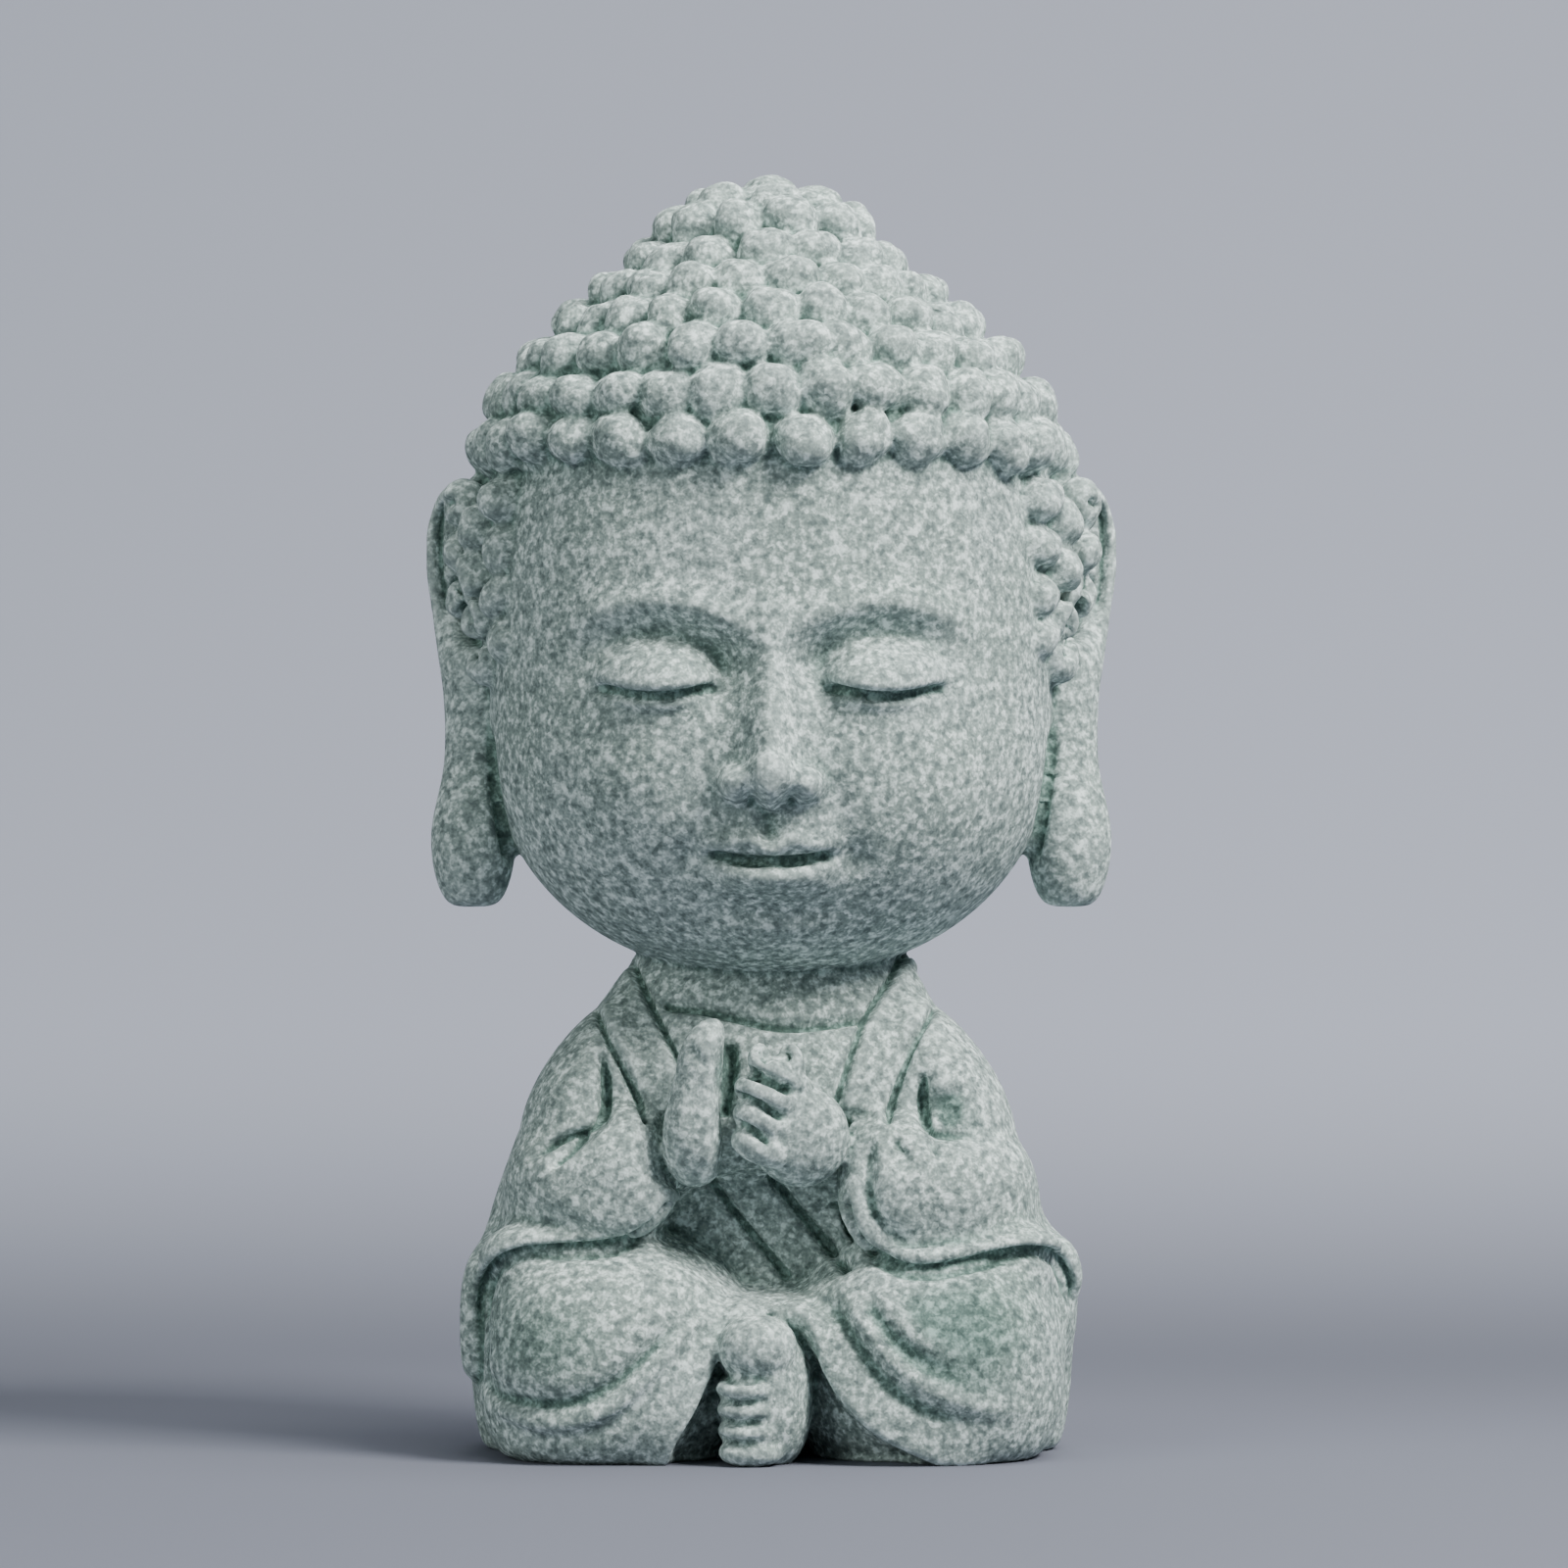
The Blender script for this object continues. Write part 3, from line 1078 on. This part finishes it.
def casting(cell, pitch, height, strength, limit):
    """The whole figure as one mesh, with how deep each point lies in a hollow.

    The depth is that below the near surroundings, times a gain, plus that below the wide ones, in mm.
    Some is added on the stained places of the front, which look like a hollow.
    """
    robe_cell = cell * ROBE_CELL_SHARE
    parts = [robe_skin(robe_cell, strength), nape_collar(), *folded_hand(), *upright_hand(), *foot()]
    parts += [head(), hair_bed(), curls(pitch, height), ear(-1), ear(1)]
    points, triangles, normals = outer_shell(*one_skin(parts, cell, WHOLE_SMOOTHING))
    x, y, z = points.T
    chest = ramp(-normals[:, 1], 0.05, 0.35) * (y > CHEST_FRONT) * (z < COLLAR_TOP)
    front = ramp(-normals[:, 1], -0.15, 0.15)
    hands = (np.abs(x - HANDS_MIDDLE) < HANDS_HALF_WIDTH) & (y < HANDS_BACK)
    hands = hands & (z > HANDS_BOTTOM) & (z < HANDS_TOP)
    head_or_ears = z > CHIN_LEVEL
    points = (
        points
        + carving(points, normals, CREASES, chest * strength)
        + carving(points, normals, SEAMS, front * ~hands * (z < HANDS_TOP) * strength)
        + carving(points, normals, TOES, front * (y < TOES_BACK) * (z < TOES_TOP) * strength)
        + carving(points, normals, HAND_LINES, front * hands * strength)
        + carving(points, normals, FACE_LINES, front * head_or_ears)
        + carving(points, normals, EAR_LINES, front * head_or_ears)
    )
    low, high = np.array(CAD_BOX) / MM
    points = np.clip(points, low, high)
    first, second = links_of(triangles)
    fine = relaxed(points, first, second, NEAR_STEPS)
    broad = relaxed(fine, first, second, WIDE_STEPS)
    depth = ((fine - points) * normals).sum(1) * NEAR_GAIN + ((broad - points) * normals).sum(1)
    for place_x, place_z, half_width, half_height, stain in STAINS:
        depth += stain * hump((x - place_x) / half_width) * hump((z - place_z) / half_height) * front
    mesh = mesh_from("Casting", points, triangles)
    mesh.attributes.new("recess", "FLOAT", "POINT").data.foreach_set("value", depth)
    share = min(1, limit / len(triangles))
    mesh = finished_mesh("Casting", mesh, [("DECIMATE", dict(ratio=share))])
    points = np.clip(arrays_of(mesh)[0], low, high)
    points[points[:, 2] < FLAT_BELOW, 2] = 0
    mesh.vertices.foreach_set("co", (points * MM).ravel())
    mesh.update()
    return mesh


# MATERIALS

STONE_ROUGHNESS = 0.92
STONE_SHINE = 0.25
CLOUD_SCALE = 90.0
DIRT_SHARE = 0.85
WEAR_SHARE = 0.2
GRAIN_BUMP = 0.4
GRAIN_HEIGHT = 0.0002
CLUMP_CONTRAST = 3.0
SPECK_CONTRAST = 0.5
PALE_GAIN = 1.55
DARK_GAIN = 1.6
PAPER_ROUGHNESS = 0.95
PAPER_SHINE = 0.1
VALLEY_AT = 0.11
WALL_AT = 0.31
VALLEY_SHARE = 0.84


def group_of(name, inputs, outputs):
    """An empty shader node group with the given sockets, and its two end nodes."""
    group = bpy.data.node_groups.new(name, "ShaderNodeTree")
    for label, kind, value in inputs:
        socket = group.interface.new_socket(label, in_out="INPUT", socket_type=kind)
        if value is not None:
            socket.default_value = value
    for label, kind in outputs:
        group.interface.new_socket(label, in_out="OUTPUT", socket_type=kind)
    return group, group.nodes.new("NodeGroupInput"), group.nodes.new("NodeGroupOutput")


def feed(tree, socket, value):
    """Links a socket to the value where that is a socket too, and otherwise sets it."""
    if isinstance(value, bpy.types.NodeSocket):
        tree.links.new(value, socket)
    else:
        socket.default_value = value


def math(tree, operation, *values, clamp=False):
    """A math node on sockets or numbers; its result's socket."""
    node = tree.nodes.new("ShaderNodeMath")
    node.operation = operation
    node.use_clamp = clamp
    for socket, value in zip(node.inputs, values):
        feed(tree, socket, value)
    return node.outputs[0]


def blend_colours(tree, share, a, b, mode="MIX"):
    """A colour mix node from a to b, each a socket or a colour; its result's socket."""
    node = tree.nodes.new("ShaderNodeMix")
    node.data_type = "RGBA"
    node.blend_type = mode
    for socket, value in ((node.inputs[0], share), (node.inputs[6], a), (node.inputs[7], b)):
        feed(tree, socket, value)
    return node.outputs[2]


def remap(tree, value, low, high):
    """A map range node that goes smoothly from 0 at low to 1 at high; its result's socket."""
    node = tree.nodes.new("ShaderNodeMapRange")
    node.interpolation_type = "SMOOTHSTEP"
    for socket, number in zip(node.inputs, (value, low, high, 0.0, 1.0)):
        feed(tree, socket, number)
    return node.outputs[0]


def sand_grain_group():
    """Cast sand: small grains of random tone in soft clumps, and their height.

    A random number per cell, a grain wide, is added to a noise of three octaves that starts at twice
    the grain's size. Above the middle the sum mixes the pale colour into the body colour, and below
    it the dark one. The height follows the noise alone.
    """
    group, start, end = group_of(
        "Sand grains",
        [
            ("Vector", "NodeSocketVector", None),
            ("Grain size", "NodeSocketFloat", 0.0004),
            ("Body", "NodeSocketColor", None),
            ("Pale", "NodeSocketColor", None),
            ("Dark", "NodeSocketColor", None),
            ("Contrast", "NodeSocketFloat", 1.0),
        ],
        [("Color", "NodeSocketColor"), ("Height", "NodeSocketFloat")],
    )
    scale = math(group, "DIVIDE", 1.0, start.outputs["Grain size"])
    cells = group.nodes.new("ShaderNodeTexVoronoi")
    cells.feature = "F1"
    group.links.new(start.outputs["Vector"], cells.inputs["Vector"])
    group.links.new(scale, cells.inputs["Scale"])
    tone = group.nodes.new("ShaderNodeSeparateColor")
    group.links.new(cells.outputs["Color"], tone.inputs[0])
    soft = group.nodes.new("ShaderNodeTexNoise")
    soft.inputs["Detail"].default_value = 2.0
    soft.inputs["Roughness"].default_value = 0.75
    group.links.new(start.outputs["Vector"], soft.inputs["Vector"])
    group.links.new(math(group, "MULTIPLY", scale, 0.5), soft.inputs["Scale"])
    cloud = math(group, "MULTIPLY_ADD", soft.outputs["Fac"], CLUMP_CONTRAST, -CLUMP_CONTRAST / 2)
    speck = math(group, "MULTIPLY_ADD", tone.outputs[0], SPECK_CONTRAST, -SPECK_CONTRAST / 2)
    offset = math(group, "MULTIPLY", math(group, "ADD", cloud, speck), start.outputs["Contrast"])
    pale = math(group, "MULTIPLY", offset, PALE_GAIN, clamp=True)
    dark = math(group, "MULTIPLY", offset, -DARK_GAIN, clamp=True)
    colour = blend_colours(group, pale, start.outputs["Body"], start.outputs["Pale"])
    colour = blend_colours(group, dark, colour, start.outputs["Dark"])
    group.links.new(colour, end.inputs["Color"])
    group.links.new(soft.outputs["Fac"], end.inputs["Height"])
    return group


def hollow_tint_group():
    """Dirt in the hollows and wear on the high places, from how deep each point lies."""
    group, start, end = group_of(
        "Hollow tint",
        [
            ("Color", "NodeSocketColor", None),
            ("Recess", "NodeSocketFloat", 0.0),
            ("Hollow", "NodeSocketColor", None),
            ("Worn", "NodeSocketColor", None),
            ("Hollow share", "NodeSocketFloat", 0.6),
            ("Worn share", "NodeSocketFloat", 0.3),
        ],
        [("Color", "NodeSocketColor")],
    )
    deep = remap(group, start.outputs["Recess"], 0.15, 1.4)
    proud = remap(group, start.outputs["Recess"], -0.1, -1.6)
    share = math(group, "MULTIPLY", deep, start.outputs["Hollow share"])
    colour = blend_colours(group, share, start.outputs["Color"], start.outputs["Hollow"], "MULTIPLY")
    share = math(group, "MULTIPLY", proud, start.outputs["Worn share"])
    colour = blend_colours(group, share, colour, start.outputs["Worn"])
    group.links.new(colour, end.inputs["Color"])
    return group


def placed(tree, group, **values):
    """A copy of a node group in a tree, with its inputs linked or set."""
    node = tree.nodes.new("ShaderNodeGroup")
    node.node_tree = group
    for label, value in values.items():
        feed(tree, node.inputs[label.replace("_", " ")], value)
    return node


def matt_material(name, roughness, shine):
    """A new material whose shader has the given roughness and specular level, and its tree and shader."""
    material = bpy.data.materials.new(name)
    material.use_nodes = True
    shader = material.node_tree.nodes["Principled BSDF"]
    shader.inputs["Roughness"].default_value = roughness
    shader.inputs["Specular IOR Level"].default_value = shine
    return material, material.node_tree, shader


def sandstone(finish):
    """Matt grey-green cast sandstone: grains over a clouded body colour, darker and greener in hollows."""
    material, tree, shader = matt_material("Grey-green sandstone", STONE_ROUGHNESS, STONE_SHINE)
    where = tree.nodes.new("ShaderNodeTexCoord").outputs["Object"]
    clouds = tree.nodes.new("ShaderNodeTexNoise")
    tree.links.new(where, clouds.inputs["Vector"])
    clouds.inputs["Scale"].default_value = CLOUD_SCALE
    clouds.inputs["Detail"].default_value = 3.0
    cloudy = remap(tree, clouds.outputs["Fac"], 0.35, 0.65)
    body = blend_colours(tree, cloudy, tuple(finish.body_colour), tuple(finish.green_colour))
    grains = placed(
        tree, sand_grain_group(), Vector=where, Grain_size=finish.grain_size * MM, Body=body,
        Pale=tuple(finish.pale_colour), Dark=tuple(finish.dark_colour), Contrast=1.0,
    )
    recess = tree.nodes.new("ShaderNodeAttribute")
    recess.attribute_name = "recess"
    tinted = placed(
        tree, hollow_tint_group(), Color=grains.outputs["Color"], Recess=recess.outputs["Fac"],
        Hollow=tuple(finish.hollow_colour), Worn=tuple(finish.pale_colour),
        Hollow_share=DIRT_SHARE, Worn_share=WEAR_SHARE,
    )
    tree.links.new(tinted.outputs["Color"], shader.inputs["Base Color"])
    relief = tree.nodes.new("ShaderNodeBump")
    relief.inputs["Strength"].default_value = GRAIN_BUMP
    relief.inputs["Distance"].default_value = GRAIN_HEIGHT
    tree.links.new(grains.outputs["Height"], relief.inputs["Height"])
    tree.links.new(relief.outputs["Normal"], shader.inputs["Normal"])
    return material


def paper(near, far):
    """Matt paper for the sweep: one colour near the camera, a darker valley, and another colour above.

    The share of each follows y plus z, which grows steadily from the floor's front to the sweep's top.
    The paper's back is clear, so that the figurine can also be looked at from behind the sweep.
    """
    material, tree, shader = matt_material("Pale paper", PAPER_ROUGHNESS, PAPER_SHINE)
    place = tree.nodes.new("ShaderNodeSeparateXYZ")
    tree.links.new(tree.nodes.new("ShaderNodeTexCoord").outputs["Object"], place.inputs[0])
    along_sweep = math(tree, "ADD", place.outputs["Y"], place.outputs["Z"])
    valley = (*(VALLEY_SHARE * c for c in near[:3]), 1)
    back = blend_colours(tree, remap(tree, along_sweep, VALLEY_AT, WALL_AT), valley, tuple(far))
    colours = blend_colours(tree, remap(tree, along_sweep, 0.0, VALLEY_AT), tuple(near), back)
    tree.links.new(colours, shader.inputs["Base Color"])
    back_side = tree.nodes.new("ShaderNodeNewGeometry").outputs["Backfacing"]
    tree.links.new(math(tree, "SUBTRACT", 1.0, back_side), shader.inputs["Alpha"])
    return material


# SETTINGS A USER MAY CHANGE


def millimetres(name, description, default, low, high):
    """A length in millimetres, as a property."""
    return bpy.props.FloatProperty(name=name, description=description, default=default, min=low, max=high)


def watts(name, description, default):
    """A lamp's power in watts, as a property."""
    return bpy.props.FloatProperty(name=name, description=description, default=default, min=0)


def colour(name, description, default):
    """A colour as a property."""
    return bpy.props.FloatVectorProperty(
        name=name, description=description, default=default, size=4, min=0, max=1, subtype="COLOR"
    )


class FigurineSizes(bpy.types.PropertyGroup):
    """Sizes of the carving."""

    curl_pitch: millimetres("Curl pitch", "Distance between the middles of two curls, in mm", 5.3, 3, 9)
    curl_height: millimetres("Curl height", "How far a curl stands off the scalp, in mm", 1.8, 0.5, 3)
    cell: millimetres("Cell", "Edge of the small cells that the skin is made of, in mm", 0.27, 0.15, 1)
    carving: bpy.props.FloatProperty(
        name="Carving", description="Depth of folds and creases as a share of the usual",
        default=1, min=0, max=2,
    )
    triangles: bpy.props.IntProperty(
        name="Triangles", description="Most triangles in the finished skin",
        default=190000, min=20000, max=199000,
    )


class FigurineFinish(bpy.types.PropertyGroup):
    """Colours and grain of the stone."""

    body_colour: colour("Body", "Grey of the stone between its grains", (0.35, 0.43, 0.41, 1))
    green_colour: colour("Green", "Greener patches of the stone", (0.3, 0.38, 0.35, 1))
    pale_colour: colour("Pale grains", "Colour of the pale grains and worn places", (0.8, 0.92, 0.89, 1))
    dark_colour: colour("Dark grains", "Colour of the dark grains", (0.14, 0.185, 0.178, 1))
    hollow_colour: colour("Hollows", "Tint of the stone deep in the carving", (0.3, 0.42, 0.38, 1))
    grain_size: millimetres("Grain size", "Width of one grain, in mm", 0.42, 0.1, 2)


class FigurineStage(bpy.types.PropertyGroup):
    """The floor and the lights."""

    floor_colour: colour("Floor", "Colour of the floor", (0.158, 0.168, 0.205, 1))
    backdrop_colour: colour("Backdrop", "Colour of the sweep behind the figurine", (0.35, 0.37, 0.44, 1))
    key_power: watts("Key", "Power of the key light in watts", 6.3)
    top_power: watts("Top", "Power of the top light in watts", 5)
    backdrop_power: watts("Backdrop", "Power of the light on the backdrop in watts", 2.0)
    fill_power: watts("Fill", "Power of the fill light in watts", 1.8)


# OPERATORS

STAGE_MIDDLE = (0, 0, 0.055)
CAMERA_PLACE = (0.001, -0.62, 0.05)
CAMERA_AIM = (0.0011, 0, 0.05715)
SENSOR_WIDTH = 36
WIDTH_SEEN = 0.135


class FIGURINE_OT_casting(bpy.types.Operator):
    """Make the figurine's carved stone in place of the plain solid"""

    bl_idname = "figurine.casting"
    bl_label = "Make figurine"

    def execute(self, context):
        sizes = context.scene.figurine_sizes
        cell = sizes.cell
        mesh = casting(cell, sizes.curl_pitch, sizes.curl_height, sizes.carving, sizes.triangles)
        piece = in_scene("figurine_casting", mesh)
        mesh.shade_smooth()
        mesh.materials.append(sandstone(context.scene.figurine_finish))
        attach(piece, "root")
        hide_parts("figurine")
        return {"FINISHED"}


def sweep(width=3.0, front=-1.6, start=0.1, radius=0.5, top=1.6, columns=8, rows=48):
    """The floor and backdrop in one sheet: level, then a quarter circle up, then upright; in metres."""
    turn = np.linspace(0, np.pi / 2, rows)
    y = np.concatenate([[front], start + radius * np.sin(turn), [start + radius]])
    z = np.concatenate([[0], radius * (1 - np.cos(turn)), [top]])
    x = np.linspace(-width / 2, width / 2, columns)
    points = np.stack(np.broadcast_arrays(x[None], y[:, None], z[:, None]), -1).reshape(-1, 3)
    a = np.arange((len(y) - 1) * columns).reshape(-1, columns)[:, :-1].ravel()
    triangles = np.vstack([
        np.stack([a, a + 1, a + columns + 1], -1),
        np.stack([a, a + columns + 1, a + columns], -1),
    ])
    return points, triangles


def aimed(piece, place, target):
    """Puts a lamp or camera at a place and turns it towards a target."""
    piece.location = place
    piece.rotation_euler = (Vector(target) - Vector(place)).to_track_quat("-Z", "Y").to_euler()


def lamp(name, place, target, size, power, tint=(1, 1, 1)):
    """A square soft light at a place, turned towards a target."""
    light = bpy.data.lights.new(name, "AREA")
    light.shape = "SQUARE"
    light.size = size
    light.energy = power
    light.color = tint
    aimed(in_scene(name, light), place, target)


class FIGURINE_OT_stage(bpy.types.Operator):
    """Make the floor, the lights and the camera"""

    bl_idname = "figurine.stage"
    bl_label = "Make stage"

    def execute(self, context):
        settings = context.scene.figurine_stage
        mesh = mesh_from("Sweep", *sweep())
        mesh.shade_smooth()
        mesh.materials.append(paper(settings.floor_colour, settings.backdrop_colour))
        floor = in_scene("Sweep", mesh)
        key, top, backdrop, fill = (
            settings.key_power, settings.top_power, settings.backdrop_power, settings.fill_power
        )
        lamp("Key light", (0.34, -0.26, 0.47), (0, 0, 0.11), 0.22, key, (1, 0.99, 0.97))
        lamp("Top light", (0.12, -0.05, 0.95), STAGE_MIDDLE, 0.5, top)
        lamp("Backdrop light", (0.1, 0.05, 1.1), (0.12, 0.6, 0.45), 0.7, backdrop, (0.97, 0.98, 1))
        lamp("Fill light", (-0.5, -0.45, 0.3), STAGE_MIDDLE, 0.5, fill, (0.95, 1, 0.96))
        world = context.scene.world or bpy.data.worlds.new("Studio")
        context.scene.world = world
        world.use_nodes = True
        room = world.node_tree.nodes["Background"]
        room.inputs["Color"].default_value = (0.72, 0.8, 0.82, 1)
        room.inputs["Strength"].default_value = 0.16
        camera = in_scene("Camera", bpy.data.cameras.new("Camera"))
        camera.data.sensor_width = SENSOR_WIDTH
        camera.data.lens = SENSOR_WIDTH * -CAMERA_PLACE[1] / WIDTH_SEEN
        camera.data.clip_start = 0.01
        aimed(camera, CAMERA_PLACE, CAMERA_AIM)
        context.scene.camera = camera
        return {"FINISHED"}


class FIGURINE_PT_panel(bpy.types.Panel):
    """Lists the settings and the pieces in the sidebar"""

    bl_idname = "FIGURINE_PT_panel"
    bl_label = "Seated monk figurine"
    bl_space_type = "VIEW_3D"
    bl_region_type = "UI"
    bl_category = "Figurine"

    def draw(self, context):
        scene = context.scene
        for label, operator, groups in (
            ("Figurine", FIGURINE_OT_casting, (scene.figurine_sizes, scene.figurine_finish)),
            ("Stage", FIGURINE_OT_stage, (scene.figurine_stage,)),
        ):
            box = self.layout.box()
            box.label(text=label)
            for group in groups:
                for name in group.__annotations__:
                    box.prop(group, name)
            box.operator(operator.bl_idname)


SETTINGS = {
    "figurine_sizes": FigurineSizes,
    "figurine_finish": FigurineFinish,
    "figurine_stage": FigurineStage,
}
CLASSES = (*SETTINGS.values(), FIGURINE_OT_casting, FIGURINE_OT_stage, FIGURINE_PT_panel)


def register():
    """Makes the settings, operators and panel known to Blender."""
    for item in CLASSES:
        bpy.utils.register_class(item)
    for name, group in SETTINGS.items():
        setattr(bpy.types.Scene, name, bpy.props.PointerProperty(type=group))


def unregister():
    """Takes them away again."""
    for name in SETTINGS:
        delattr(bpy.types.Scene, name)
    for item in reversed(CLASSES):
        bpy.utils.unregister_class(item)


def main():
    """Makes every piece in order."""
    register()
    bpy.ops.figurine.stage()
    bpy.ops.figurine.casting()


if __name__ == "__main__":
    main()
